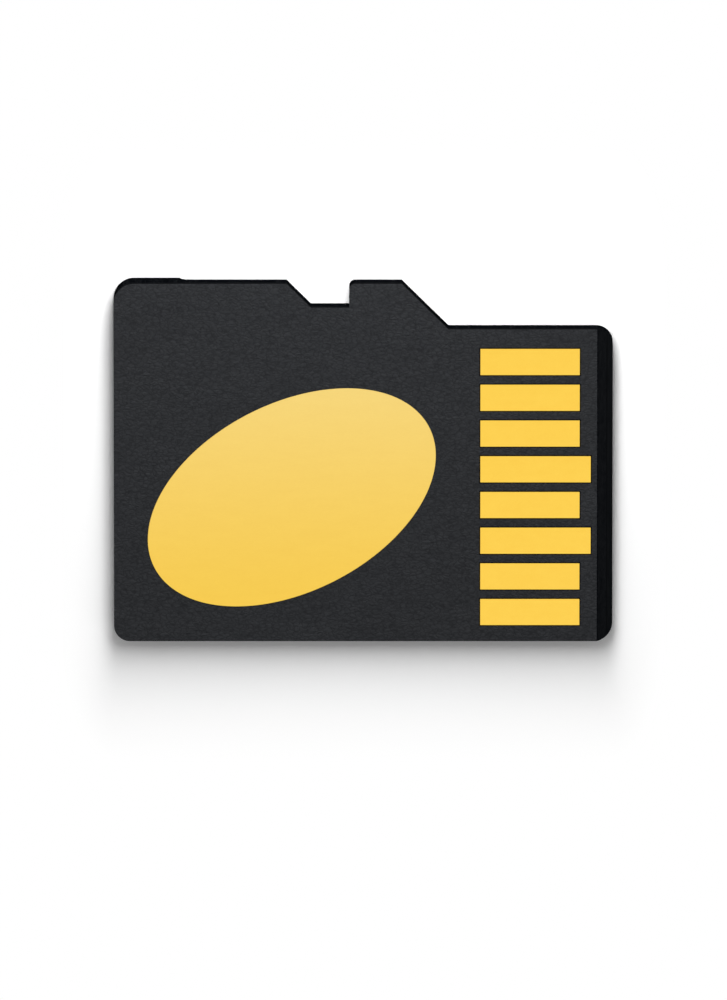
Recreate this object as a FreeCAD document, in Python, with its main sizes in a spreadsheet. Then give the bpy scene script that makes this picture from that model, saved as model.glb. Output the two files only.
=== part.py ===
import FreeCAD, Part
import math
import os
import Sketcher
from FreeCAD import Placement, Rotation, Vector

# A microSD memory card in millimetres. It lies on the grip ridge of its label side with the
# contacts up: +X is the leading edge, +Y the side with the latch notch, and the origin is
# under the middle of the card.

# Sizes
SIZES = {
    # Card outline, seen from the contact side
    "card_length": 15.0,
    "card_width": 11.0,
    "nose_width": 9.6,
    "step_from_front": 6.34,
    "ramp_angle": 45.0,
    "notch_from_front": 7.92,
    "notch_floor": 1.15,
    "notch_depth": 0.73,
    "notch_corner": 0.18,
    "rear_notch_corner": 0.62,
    "rear_plain_corner": 0.48,
    "front_step_corner": 0.5,
    "front_plain_corner": 0.52,
    # Section of the card
    "body_thickness": 0.7,
    "bevel_length": 0.47,
    "bevel_depth": 0.3,
    "ridge_height": 0.3,
    "ridge_depth": 1.5,
    "ridge_arc": 30.0,
    "ridge_root": 0.12,
    "ridge_edge": 0.1,
    "label_edge": 0.06,
    # Layers from the contact face inwards
    "mask_thickness": 0.02,
    "board_thickness": 0.16,
    "copper_thickness": 0.02,
    # Contacts
    "contact_pitch": 1.1,
    "contact_width": 0.81,
    "contact_edge_offset": 0.9,
    "contact_rear": 3.98,
    "contact_front": 0.99,
    "supply_front": 0.655,
    "contact_recess": 0.005,
    "window_clearance": 0.03,
    # Oval on the contact face
    "oval_major": 4.667,
    "oval_minor": 2.88,
    "oval_tilt": 28.15,
    "oval_from_rear": 5.352,
    "oval_from_plain_side": 4.438,
    "oval_thickness": 0.02,
    # Memory dies
    "die_thickness": 0.06,
    "film_thickness": 0.015,
    "die_stagger": 0.25,
    "mould_wall_rear": 0.8,
    "mould_wall_side": 0.45,
    # Controller
    "controller_length": 1.4,
    "controller_width": 2.8,
    "controller_thickness": 0.1,
    "controller_front_wall": 1.35,
    "stack_gap": 0.6,
    # Bond wires, fingers and tracks
    "wire_thickness": 0.025,
    "wire_loop": 0.06,
    "bond_inset": 0.09,
    "bond_spacing": 0.06,
    "bond_margin": 0.2,
    "finger_gap": 0.2,
    "finger_length": 0.25,
    "finger_width": 0.14,
    "track_width": 0.08,
    "via_radius": 0.06,
    "via_pad": 0.22,
    "via_inset": 0.3,
    # Capacitors
    "capacitor_length": 0.6,
    "capacitor_width": 0.3,
    "capacitor_height": 0.3,
    "capacitor_cap": 0.15,
    "cap_plating": 0.01,
    "capacitor_pitch": 0.7,
    "capacitor_side_wall": 0.7,
    "capacitor_front_wall": 1.9,
    "solder_thickness": 0.02,
    "land_margin": 0.04,
    # How far cutting shapes run past the card
    "overrun": 1.0,
}
CONTACTS = ("dat2", "dat3", "cmd", "vdd", "clk", "vss", "dat0", "dat1")
SUPPLY_CONTACTS = ("vdd", "vss")
DIE_COUNT = 4
FLASH_WIRE_COUNT = 8

doc = FreeCAD.newDocument("microsd_card")
sheet = doc.addObject("Spreadsheet::Sheet", "sizes")
for row, (alias, value) in enumerate(SIZES.items(), start=1):
    sheet.set(f"A{row}", alias)
    sheet.set(f"B{row}", str(value))
    sheet.setAlias(f"B{row}", alias)
doc.recompute()

# Places that several pieces share, written as formulas over the sizes
LEADING_EDGE = "(sizes.card_length / 2)"
REAR_EDGE = "(-sizes.card_length / 2)"
PLAIN_SIDE = "(-sizes.card_width / 2)"
NOTCH_SIDE = "(sizes.card_width / 2)"
NOSE_SIDE = f"({PLAIN_SIDE} + sizes.nose_width)"
CONTACT_FACE = "(sizes.ridge_height + sizes.body_thickness)"
BOARD_OUTER = f"({CONTACT_FACE} - sizes.mask_thickness)"
BOARD_INNER = f"({BOARD_OUTER} - sizes.board_thickness)"
DIE_PLANE = f"({BOARD_INNER} - sizes.copper_thickness)"
ROW_CENTRE = f"({PLAIN_SIDE} + sizes.contact_edge_offset + 3.5 * sizes.contact_pitch)"
CONTROLLER_FRONT = f"({LEADING_EDGE} - sizes.controller_front_wall)"
CONTROLLER_REAR = f"({CONTROLLER_FRONT} - sizes.controller_length)"
CONTROLLER_LEVEL = "(sizes.film_thickness + sizes.controller_thickness)"
STACK_FRONT = f"({CONTROLLER_REAR} - sizes.stack_gap)"
STACK_REAR = f"({REAR_EDGE} + sizes.mould_wall_rear)"
DIE_STEP = "(sizes.film_thickness + sizes.die_thickness)"
DIE_LENGTH = f"({STACK_FRONT} - {STACK_REAR} - {DIE_COUNT - 1} * sizes.die_stagger)"
DIE_WIDTH = "(sizes.nose_width - 2 * sizes.mould_wall_side)"
BOND_SPAN = "(sizes.controller_width - 2 * sizes.bond_margin)"
FINGER_REAR = f"({CONTROLLER_FRONT} + sizes.finger_gap)"
VIA_X = f"({LEADING_EDGE} - sizes.contact_rear + sizes.via_inset)"
CAPACITOR_X = f"({LEADING_EDGE} - sizes.capacitor_front_wall)"


def number(formula):
    """Value of a formula over the sizes."""
    return float(sheet.evalExpression(formula))


def bind(obj, **formulas):
    """Tie properties of an object to formulas."""
    for name, formula in formulas.items():
        obj.setExpression(name, formula)
    return obj


def place(obj, x="0", y="0", z="0"):
    """Tie the position of an object to formulas."""
    obj.setExpression("Placement.Base.x", x)
    obj.setExpression("Placement.Base.y", y)
    obj.setExpression("Placement.Base.z", z)
    return obj


def origin_plane(body, role):
    """One of the three planes through a body's own origin."""
    return next(f for f in body.Origin.OriginFeatures if f.Role == role)


def new_sketch(body, name, role="XY_Plane"):
    """An empty sketch on one of the body's own planes."""
    sketch = body.newObject("Sketcher::SketchObject", name)
    sketch.AttachmentSupport = (origin_plane(body, role), "")
    sketch.MapMode = "FlatFace"
    return sketch


def limit(sketch, kind, *args, formula):
    """Add a dimension to a sketch and tie it to a formula."""
    value = number(formula)
    if kind == "Angle":
        value = math.radians(value)
        formula = f"{formula} * 1 deg"
    index = sketch.addConstraint(Sketcher.Constraint(kind, *args, value))
    sketch.setExpression(f"Constraints[{index}]", formula)


def join_loop(sketch, kinds):
    """Close a chain of lines and arcs, tangent wherever an arc meets its neighbour."""
    for first in range(len(kinds)):
        second = (first + 1) % len(kinds)
        rule = "Tangent" if "arc" in (kinds[first], kinds[second]) else "Coincident"
        sketch.addConstraint(Sketcher.Constraint(rule, first, 2, second, 1))


def draw(sketch, pieces):
    """Draw lines (two points) and anticlockwise arcs (centre, radius, two angles)."""
    kinds = []
    for piece in pieces:
        if len(piece) == 2:
            sketch.addGeometry(Part.LineSegment(Vector(*piece[0]), Vector(*piece[1])))
            kinds.append("line")
        else:
            circle = Part.Circle(Vector(*piece[0]), Vector(0, 0, 1), piece[1])
            start, end = math.radians(piece[2]), math.radians(piece[3])
            sketch.addGeometry(Part.ArcOfCircle(circle, start, end))
            kinds.append("arc")
    return kinds


def draw_card_outline(sketch):
    """The outline with its nose step, latch notch and five rounded corners."""
    front, rear = number(LEADING_EDGE), number(REAR_EDGE)
    plain, notch, nose = number(PLAIN_SIDE), number(NOTCH_SIDE), number(NOSE_SIDE)
    slope = 1 / math.tan(math.radians(sheet.ramp_angle))
    step_top = front - sheet.step_from_front
    step_foot = step_top + (notch - nose) * slope
    wall = front - sheet.notch_from_front
    floor = notch - sheet.notch_depth
    floor_end = wall - sheet.notch_floor
    ramp_top = floor_end - sheet.notch_depth * slope
    fp, fs = sheet.front_plain_corner, sheet.front_step_corner
    nc, rn, rp = sheet.notch_corner, sheet.rear_notch_corner, sheet.rear_plain_corner
    kinds = draw(sketch, [
        ((rear + rp, plain), (front - fp, plain)),
        ((front - fp, plain + fp), fp, -90, 0),
        ((front, plain + fp), (front, nose - fs)),
        ((front - fs, nose - fs), fs, 0, 90),
        ((front - fs, nose), (step_foot, nose)),
        ((step_foot, nose), (step_top, notch)),
        ((step_top, notch), (wall + nc, notch)),
        ((wall + nc, notch - nc), nc, 90, 180),
        ((wall, notch - nc), (wall, floor)),
        ((wall, floor), (floor_end, floor)),
        ((floor_end, floor), (ramp_top, notch)),
        ((ramp_top, notch), (rear + rn, notch)),
        ((rear + rn, notch - rn), rn, 90, 180),
        ((rear, notch - rn), (rear, plain + rp)),
        ((rear + rp, plain + rp), rp, 180, 270),
    ])
    join_loop(sketch, kinds)
    for line in (0, 4, 6, 9, 11):
        sketch.addConstraint(Sketcher.Constraint("Horizontal", line))
    for line in (2, 8, 13):
        sketch.addConstraint(Sketcher.Constraint("Vertical", line))
    limit(sketch, "DistanceX", -1, 1, 2, 1, formula="sizes.card_length / 2")
    limit(sketch, "DistanceX", 13, 1, -1, 1, formula="sizes.card_length / 2")
    limit(sketch, "DistanceY", 0, 1, -1, 1, formula="sizes.card_width / 2")
    limit(sketch, "DistanceY", -1, 1, 6, 1, formula="sizes.card_width / 2")
    limit(sketch, "DistanceY", -1, 1, 11, 1, formula="sizes.card_width / 2")
    limit(sketch, "DistanceY", 0, 1, 4, 1, formula="sizes.nose_width")
    limit(sketch, "DistanceX", 6, 1, 2, 1, formula="sizes.step_from_front")
    limit(sketch, "DistanceX", 8, 1, 2, 1, formula="sizes.notch_from_front")
    limit(sketch, "DistanceX", 9, 2, 9, 1, formula="sizes.notch_floor")
    limit(sketch, "DistanceY", 9, 1, 11, 1, formula="sizes.notch_depth")
    limit(sketch, "Angle", 5, formula="(180 - sizes.ramp_angle)")
    limit(sketch, "Angle", 10, formula="(180 - sizes.ramp_angle)")
    limit(sketch, "Radius", 1, formula="sizes.front_plain_corner")
    limit(sketch, "Radius", 3, formula="sizes.front_step_corner")
    limit(sketch, "Radius", 7, formula="sizes.notch_corner")
    limit(sketch, "Radius", 12, formula="sizes.rear_notch_corner")
    limit(sketch, "Radius", 14, formula="sizes.rear_plain_corner")


def draw_label_recess(sketch):
    """Everything in front of the grip ridge, whose front edge is a shallow arc."""
    radius = sheet.ridge_arc
    centre = number(REAR_EDGE) + sheet.ridge_depth + radius
    side = number(NOTCH_SIDE) + sheet.overrun
    front = number(LEADING_EDGE) + sheet.overrun
    swing = math.degrees(math.asin(side / radius))
    end = centre - math.sqrt(radius ** 2 - side ** 2)
    draw(sketch, [
        ((centre, 0), radius, 180 - swing, 180 + swing),
        ((end, -side), (front, -side)),
        ((front, -side), (front, side)),
        ((front, side), (end, side)),
    ])
    join_loop(sketch, ["line"] * 4)
    sketch.addConstraint(Sketcher.Constraint("Horizontal", 1))
    sketch.addConstraint(Sketcher.Constraint("Vertical", 2))
    sketch.addConstraint(Sketcher.Constraint("Horizontal", 3))
    sketch.addConstraint(Sketcher.Constraint("PointOnObject", 0, 3, -1))
    limit(sketch, "Radius", 0, formula="sizes.ridge_arc")
    limit(sketch, "DistanceX", -1, 1, 0, 3,
          formula="sizes.ridge_arc + sizes.ridge_depth - sizes.card_length / 2")
    limit(sketch, "DistanceX", -1, 1, 2, 1, formula=f"{LEADING_EDGE} + sizes.overrun")
    limit(sketch, "DistanceY", 1, 1, -1, 1, formula=f"{NOTCH_SIDE} + sizes.overrun")
    limit(sketch, "DistanceY", -1, 1, 3, 1, formula=f"{NOTCH_SIDE} + sizes.overrun")


def draw_bevel(sketch):
    """A triangle whose long side is the bevel, run past the card at both ends."""
    length, depth = sheet.bevel_length, sheet.bevel_depth
    right = number(LEADING_EDGE) + length
    top = number(CONTACT_FACE) + depth
    draw(sketch, [
        ((right - 3 * length, top), (right, top - 3 * depth)),
        ((right, top - 3 * depth), (right, top)),
        ((right, top), (right - 3 * length, top)),
    ])
    join_loop(sketch, ["line"] * 3)
    sketch.addConstraint(Sketcher.Constraint("Vertical", 1))
    sketch.addConstraint(Sketcher.Constraint("Horizontal", 2))
    limit(sketch, "DistanceX", -1, 1, 1, 1, formula=f"{LEADING_EDGE} + sizes.bevel_length")
    limit(sketch, "DistanceY", -1, 1, 2, 1, formula=f"{CONTACT_FACE} + sizes.bevel_depth")
    limit(sketch, "DistanceX", 0, 1, 0, 2, formula="3 * sizes.bevel_length")
    limit(sketch, "DistanceY", 0, 2, 0, 1, formula="3 * sizes.bevel_depth")


def edge_names(shape, test):
    """Names of the edges whose middle point and bounding box pass a test."""
    names = []
    for index, edge in enumerate(shape.Edges, start=1):
        middle = edge.valueAt((edge.FirstParameter + edge.LastParameter) / 2)
        if test(middle, edge.BoundBox):
            names.append(f"Edge{index}")
    return names


def make_card_blank():
    """The whole card as it leaves the cutter: all its layers share this outer form."""
    body = doc.addObject("PartDesign::Body", "card_blank")
    outline = new_sketch(body, "card_outline")
    draw_card_outline(outline)
    pad = body.newObject("PartDesign::Pad", "full_height")
    pad.Profile = outline
    bind(pad, Length=CONTACT_FACE)
    recess = new_sketch(body, "label_recess")
    draw_label_recess(recess)
    pocket = body.newObject("PartDesign::Pocket", "label_face")
    pocket.Profile = recess
    pocket.Reversed = True
    bind(pocket, Length="sizes.ridge_height")
    bevel = new_sketch(body, "bevel_profile", "XZ_Plane")
    draw_bevel(bevel)
    slope = body.newObject("PartDesign::Pocket", "leading_bevel")
    slope.Profile = bevel
    slope.SideType = "Symmetric"
    bind(slope, Length="2 * sizes.card_width")
    doc.recompute()

    ridge_front = number(REAR_EDGE) + sheet.ridge_depth

    def at_label_face(box):
        return abs(box.ZMin - sheet.ridge_height) < 1e-6 and abs(box.ZMax - box.ZMin) < 1e-6

    def is_root(middle, box):
        return at_label_face(box) and abs(middle.y) < 0.01 and middle.x < ridge_front + 1

    def is_label_rim(middle, box):
        return at_label_face(box) and not is_root(middle, box)

    def is_ridge_rim(middle, box):
        return box.ZMax < 1e-6

    rounds = (("ridge_root", is_root), ("label_edge", is_label_rim), ("ridge_edge", is_ridge_rim))
    base = slope
    for alias, test in rounds:
        fillet = body.newObject("PartDesign::Fillet", f"{alias}_round")
        fillet.Base = (base, edge_names(base.Shape, test))
        bind(fillet, Radius=f"sizes.{alias}")
        doc.recompute()
        base = fillet
    body.Tip = base
    return body


def slice_layer(blank, name, low, high):
    """The part of the card between two heights."""
    slab = doc.addObject("Part::Box", f"{name}_slab")
    bind(slab, Length="sizes.card_length + 2 * sizes.overrun",
         Width="sizes.card_width + 2 * sizes.overrun", Height=f"{high} - {low}")
    place(slab, f"{REAR_EDGE} - sizes.overrun", f"{PLAIN_SIDE} - sizes.overrun", low)
    layer = doc.addObject("Part::Common", f"{name}_layer")
    layer.Base = blank
    layer.Tool = slab
    return layer


def box(label, x, y, z, length, width, height):
    """A rectangular piece whose corner is at x, y, z."""
    piece = doc.addObject("Part::Box", label)
    bind(piece, Length=length, Width=width, Height=height)
    return place(piece, x, y, z)


def fuse(label, pieces):
    """Join pieces into one object."""
    joined = doc.addObject("Part::MultiFuse", label)
    joined.Shapes = pieces
    return joined


def cut(label, base, tool):
    """Take one object out of another."""
    result = doc.addObject("Part::Cut", label)
    result.Base = base
    result.Tool = tool
    return result


def fixed(label, solids):
    """A piece made of ready solids, such as a group of wires."""
    piece = doc.addObject("Part::Feature", label)
    piece.Shape = Part.makeCompound(solids)
    piece.Placement = Placement()
    return piece


def contact_y(index):
    """Middle of a contact, counted from the notch side."""
    steps = len(CONTACTS) - 1 - index
    return f"({PLAIN_SIDE} + sizes.contact_edge_offset + {steps} * sizes.contact_pitch)"


def make_contacts():
    """Eight gold contacts and the windows that the contact-side mask leaves for them."""
    contacts, windows = [], []
    gap = "sizes.window_clearance"
    for index, signal in enumerate(CONTACTS):
        front = "sizes.supply_front" if signal in SUPPLY_CONTACTS else "sizes.contact_front"
        length = f"(sizes.contact_rear - {front})"
        x = f"({LEADING_EDGE} - sizes.contact_rear)"
        y = f"({contact_y(index)} - sizes.contact_width / 2)"
        contacts.append(box(f"contact_{index + 1}_{signal}", x, y, BOARD_OUTER, length,
                            "sizes.contact_width", "sizes.mask_thickness - sizes.contact_recess"))
        windows.append(box(f"window_{index + 1}", f"{x} - {gap}", f"{y} - {gap}", BOARD_OUTER,
                           f"{length} + 2 * {gap}", f"sizes.contact_width + 2 * {gap}",
                           "sizes.mask_thickness + sizes.overrun"))
    return contacts, windows


def make_vias():
    """A filled plated hole through the board behind each contact."""
    vias = []
    for index in range(len(CONTACTS)):
        via = doc.addObject("Part::Cylinder", f"via_{index + 1}")
        bind(via, Radius="sizes.via_radius", Height="sizes.board_thickness")
        vias.append(place(via, VIA_X, contact_y(index), BOARD_INNER))
    group = doc.addObject("Part::Compound", "contact_vias")
    group.Links = vias
    return group


def bond_places(count):
    """Y values spread evenly along the controller's edge, from the notch side."""
    span, centre = number(BOND_SPAN), number(ROW_CENTRE)
    return [centre + span / 2 - span * index / (count - 1) for index in range(count)]


def flat_plate(corners, low, height):
    """A flat plate from its corner points."""
    points = [Vector(x, y, low) for x, y in corners]
    return Part.Face(Part.makePolygon(points + points[:1])).extrude(Vector(0, 0, height))


def rectangle(x0, x1, y0, y1):
    """Corner points of a rectangle."""
    return [(x0, y0), (x1, y0), (x1, y1), (x0, y1)]


def capacitor_places():
    """Middle of each capacitor: two by the nose's side and two by the plain side."""
    wall, pitch = "sizes.capacitor_side_wall", "sizes.capacitor_pitch"
    return [f"({NOSE_SIDE} - {wall})", f"({NOSE_SIDE} - {wall} - {pitch})",
            f"({PLAIN_SIDE} + {wall} + {pitch})", f"({PLAIN_SIDE} + {wall})"]


def make_die_side_copper():
    """Tracks that fan in from the vias to the bond fingers, and lands under the capacitors."""
    low, height = number(DIE_PLANE), sheet.copper_thickness
    pad, width, finger = sheet.via_pad / 2, sheet.track_width / 2, sheet.finger_width / 2
    via_x, finger_rear = number(VIA_X), number(FINGER_REAR)
    finger_front = finger_rear + sheet.finger_length
    tracks = []
    for index, finger_y in enumerate(bond_places(len(CONTACTS))):
        via_y = number(contact_y(index))
        run = Vector(finger_rear - via_x, finger_y - via_y, 0)
        side = Vector(-run.y, run.x, 0).normalize() * width
        overlap = run.normalize() * width
        start = Vector(via_x, via_y, 0)
        end = Vector(finger_rear, finger_y, 0) + overlap
        strip = [(p.x, p.y) for p in (start - side, end - side, end + side, start + side)]
        track = flat_plate(strip, low, height).fuse([
            flat_plate(rectangle(via_x - pad, via_x + pad, via_y - pad, via_y + pad), low, height),
            flat_plate(rectangle(finger_rear, finger_front, finger_y - finger, finger_y + finger),
                       low, height),
        ])
        tracks.append(track.removeSplitter().Solids[0])
    middle, margin = number(CAPACITOR_X), sheet.land_margin
    half, cap = sheet.capacitor_length / 2, sheet.capacitor_cap
    half_width = sheet.capacitor_width / 2 + margin
    for formula in capacitor_places():
        y = number(formula)
        for outer in (-half - margin, half - cap - margin):
            x = middle + outer
            corners = rectangle(x, x + cap + 2 * margin, y - half_width, y + half_width)
            tracks.append(flat_plate(corners, low, height).Solids[0])
    return fixed("die_side_copper", tracks)


def make_dies():
    """Four memory dies in a staircase, each on its glue film, and the controller."""
    pieces = []
    side = f"{PLAIN_SIDE} + sizes.mould_wall_side"
    for level in range(1, DIE_COUNT + 1):
        x = f"{STACK_REAR} + {DIE_COUNT - level} * sizes.die_stagger"
        die_low = f"{DIE_PLANE} - {level} * {DIE_STEP}"
        film_low = f"{DIE_PLANE} - {level - 1} * {DIE_STEP} - sizes.film_thickness"
        pieces.append(box(f"flash_film_{level}", x, side, film_low,
                          DIE_LENGTH, DIE_WIDTH, "sizes.film_thickness"))
        pieces.append(box(f"flash_die_{level}", x, side, die_low,
                          DIE_LENGTH, DIE_WIDTH, "sizes.die_thickness"))
    side = f"{ROW_CENTRE} - sizes.controller_width / 2"
    pieces.append(box("controller_film", CONTROLLER_REAR, side,
                      f"{DIE_PLANE} - sizes.film_thickness", "sizes.controller_length",
                      "sizes.controller_width", "sizes.film_thickness"))
    pieces.append(box("controller_die", CONTROLLER_REAR, side,
                      f"{DIE_PLANE} - {CONTROLLER_LEVEL}", "sizes.controller_length",
                      "sizes.controller_width", "sizes.controller_thickness"))
    return pieces


def make_capacitors():
    """Chip capacitors: a ceramic block between two plated end caps, on solder."""
    capacitors, joints = [], []
    rear = f"({CAPACITOR_X} - sizes.capacitor_length / 2)"
    front = f"({CAPACITOR_X} + sizes.capacitor_length / 2 - sizes.capacitor_cap)"
    top = f"({DIE_PLANE} - sizes.solder_thickness)"
    low = f"{top} - sizes.capacitor_height"
    for index, middle in enumerate(capacitor_places(), start=1):
        side = f"{middle} - sizes.capacitor_width / 2"
        caps = []
        for end, x in (("rear", rear), ("front", front)):
            caps.append(box(f"capacitor_{index}_{end}_cap", x, side, low, "sizes.capacitor_cap",
                            "sizes.capacitor_width", "sizes.capacitor_height"))
            joints.append(box(f"solder_{index}_{end}", x, side, top, "sizes.capacitor_cap",
                              "sizes.capacitor_width", "sizes.solder_thickness"))
        block = box(f"capacitor_{index}_block", f"{rear} + sizes.capacitor_cap",
                    f"{side} + sizes.cap_plating", f"{low} + sizes.cap_plating",
                    "sizes.capacitor_length - 2 * sizes.capacitor_cap",
                    "sizes.capacitor_width - 2 * sizes.cap_plating",
                    "sizes.capacitor_height - 2 * sizes.cap_plating")
        capacitors.append(fuse(f"capacitor_{index}", [caps[0], block, caps[1]]))
    group = doc.addObject("Part::Compound", "capacitor_solder")
    group.Links = joints
    return capacitors, group


def bond_wire(points):
    """A square wire along a bent path in the XZ plane, from X and height over the board."""
    plane, half = number(DIE_PLANE), sheet.wire_thickness / 2
    path = [Vector(x, 0, plane - level) for x, level in points]
    foot = path[0]
    corners = [foot + Vector(dx * half, dy * half, 0)
               for dx, dy in ((-1, -1), (1, -1), (1, 1), (-1, 1))]
    sweep = Part.BRepOffsetAPI.MakePipeShell(Part.makePolygon(path))
    sweep.setTransitionMode(1)
    sweep.add(Part.makePolygon(corners + corners[:1]))
    sweep.build()
    sweep.makeSolid()
    return sweep.shape()


def along_edge(wire, count):
    """Copies of a wire spread along the controller's edge."""
    copies = []
    for y in bond_places(count):
        copy = wire.copy()
        copy.translate(Vector(0, y, 0))
        copies.append(copy)
    return copies


def make_wires():
    """Wires down the staircase to the controller, and from the controller to the fingers."""
    step, stagger, loop = number(DIE_STEP), sheet.die_stagger, sheet.wire_loop
    inset, spacing = sheet.bond_inset, sheet.bond_spacing
    first_front = number(STACK_FRONT)
    rear, front = number(CONTROLLER_REAR), number(CONTROLLER_FRONT)
    level = number(CONTROLLER_LEVEL)
    flash = []
    for die in range(DIE_COUNT, 1, -1):
        edge = first_front - (die - 1) * stagger
        start = edge - inset + spacing / 2
        end = edge + stagger - inset - spacing / 2
        crest = die * step + loop
        wire = bond_wire([(start, die * step), (start, crest), (edge + spacing / 2, crest),
                          (end, crest - step - loop / 2), (end, (die - 1) * step)])
        flash += along_edge(wire, FLASH_WIRE_COUNT)
    start = first_front - inset + spacing / 2
    crest = max(level, step) + loop
    wire = bond_wire([(start, step), (start, crest), (rear + inset, crest), (rear + inset, level)])
    flash += along_edge(wire, FLASH_WIRE_COUNT)
    start = front - inset
    end = number(FINGER_REAR) + sheet.finger_length / 2
    crest = level + loop
    wire = bond_wire([(start, level), (start, crest), (front + spacing, crest),
                      (end, loop), (end, 0)])
    host = along_edge(wire, len(CONTACTS))
    return fixed("flash_bond_wires", flash), fixed("controller_bond_wires", host)


def make_oval():
    """The tilted gold oval on the contact face."""
    rim = doc.addObject("Part::Ellipse", "oval_rim")
    rim.Placement = Placement(Vector(), Rotation(Vector(0, 0, 1), sheet.oval_tilt))
    bind(rim, MajorRadius="sizes.oval_major", MinorRadius="sizes.oval_minor")
    rim.setExpression("Placement.Rotation.Angle", "sizes.oval_tilt * 1 deg")
    place(rim, f"{REAR_EDGE} + sizes.oval_from_rear",
          f"{PLAIN_SIDE} + sizes.oval_from_plain_side", CONTACT_FACE)
    oval = doc.addObject("Part::Extrusion", "oval_foil")
    oval.Base = rim
    oval.DirMode = "Custom"
    oval.Dir = Vector(0, 0, 1)
    oval.Solid = True
    bind(oval, LengthFwd="sizes.oval_thickness")
    return oval


def make_card():
    """All the pieces of the card."""
    blank = make_card_blank()
    contacts, windows = make_contacts()
    vias = make_vias()
    copper = make_die_side_copper()
    dies = make_dies()
    capacitors, solder = make_capacitors()
    wires = list(make_wires())
    mask = cut("contact_side_mask", slice_layer(blank, "mask", BOARD_OUTER, CONTACT_FACE),
               fuse("windows", windows))
    board = cut("board", slice_layer(blank, "board", BOARD_INNER, BOARD_OUTER), vias)
    inner_mask = cut("die_side_mask", slice_layer(blank, "inner", DIE_PLANE, BOARD_INNER), copper)
    held = dies + capacitors + [solder] + wires
    body = cut("moulded_body", slice_layer(blank, "mould", "(0)", DIE_PLANE),
               fuse("moulded_round", held))
    return ([body, board, mask, inner_mask, vias, copper, solder, make_oval()]
            + contacts + dies + capacitors + wires)


pieces = make_card()
doc.recompute()
for obj in doc.Objects:
    if "Invalid" in obj.State or "Error" in obj.State:
        raise RuntimeError(f"{obj.Label} did not build: {obj.State}")
    if obj.isDerivedFrom("Sketcher::SketchObject") and not obj.FullyConstrained:
        raise RuntimeError(f"{obj.Label} is not fully dimensioned")
os.makedirs("parts", exist_ok=True)
for piece in pieces:
    shape = piece.Shape
    if shape.isNull() or not shape.isValid() or not shape.Solids:
        raise RuntimeError(f"{piece.Label} is not a valid solid")
    shape.exportStep(f"parts/{piece.Label}.step")
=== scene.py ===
"""A small memory card lying contacts up on a pale floor.

Shapes are worked out in millimetres, in the frame of the CAD model, and written to the meshes in metres.
"""
import math

import bmesh
import bpy
import numpy as np
from mathutils import Matrix, Vector


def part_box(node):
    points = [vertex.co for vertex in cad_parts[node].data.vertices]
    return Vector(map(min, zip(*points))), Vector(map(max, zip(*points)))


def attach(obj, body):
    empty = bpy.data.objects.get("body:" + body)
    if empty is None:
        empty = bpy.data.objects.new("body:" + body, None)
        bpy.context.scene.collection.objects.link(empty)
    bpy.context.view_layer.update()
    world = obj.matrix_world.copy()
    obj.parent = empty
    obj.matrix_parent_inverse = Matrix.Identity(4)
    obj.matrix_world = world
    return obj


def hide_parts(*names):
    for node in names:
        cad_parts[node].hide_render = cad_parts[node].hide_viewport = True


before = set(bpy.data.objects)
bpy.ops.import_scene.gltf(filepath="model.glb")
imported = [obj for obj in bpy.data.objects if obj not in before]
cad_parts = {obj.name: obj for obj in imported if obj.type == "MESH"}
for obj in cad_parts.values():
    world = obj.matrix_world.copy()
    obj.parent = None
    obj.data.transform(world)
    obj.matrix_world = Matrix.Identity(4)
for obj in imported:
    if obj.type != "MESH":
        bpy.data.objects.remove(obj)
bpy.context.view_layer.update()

# Sizes of the card in millimetres
MM = 0.001
REAR, FRONT = -7.5, 7.5
PLAIN_SIDE, NOTCH_SIDE, NOSE_SIDE = -5.5, 5.5, 4.1
STEP_TOP, STEP_FOOT = 1.16, 2.56
NOTCH_WALL, NOTCH_FLOOR, NOTCH_FLOOR_END, NOTCH_RAMP_TOP = -0.42, 4.77, -1.57, -2.30
NOTCH_CORNER, REAR_NOTCH_CORNER, REAR_PLAIN_CORNER = 0.18, 0.62, 0.48
FRONT_PLAIN_CORNER, FRONT_STEP_CORNER = 0.52, 0.5
LABEL_FACE, MOULD_TOP, BOARD_TOP, CONTACT_FACE = 0.3, 0.8, 0.98, 1.0
BEVEL_LENGTH, BEVEL_DEPTH = 0.47, 0.3
BEVEL_START = FRONT - BEVEL_LENGTH
LABEL_EDGE, LABEL_EDGE_RUN_IN = 0.06, 0.08
RIDGE_ARC, RIDGE_FRONT, RIDGE_ROOT, RIDGE_EDGE = 30.0, -6.0, 0.12, 0.1
RIDGE_FRONT_AT_SIDE = RIDGE_FRONT + RIDGE_ARC - math.sqrt(RIDGE_ARC**2 - NOTCH_SIDE**2)
RIDGE_FOOT = RIDGE_FRONT_AT_SIDE + RIDGE_ROOT
CREST_ROOM = 0.12
RIDGE_SIDE = RIDGE_FRONT_AT_SIDE - CREST_ROOM
POCKET_CLEARANCE, POCKET_CORNER = 0.012, 0.1
LACQUER_EDGE, WINDOW_GAP, WINDOW_CORNER = 0.008, 0.03, 0.02
PAD_CORNER, PAD_RIM = 0.014, 0.008
OVAL_CENTRE, OVAL_HALF_LENGTH, OVAL_HALF_WIDTH, OVAL_TILT = (-2.148, -1.062), 4.667, 2.88, 28.15
OVAL_THICK, OVAL_EDGE = 0.02, 0.012
CONTACTS = [
    "contact_1_dat2", "contact_2_dat3", "contact_3_cmd", "contact_4_vdd",
    "contact_5_clk", "contact_6_vss", "contact_7_dat0", "contact_8_dat1",
]
MOULDED_IN = [
    "flash_die_1", "flash_die_4", "controller_die", "capacitor_1", "capacitor_4",
    "flash_bond_wires", "controller_bond_wires",
]

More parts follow.
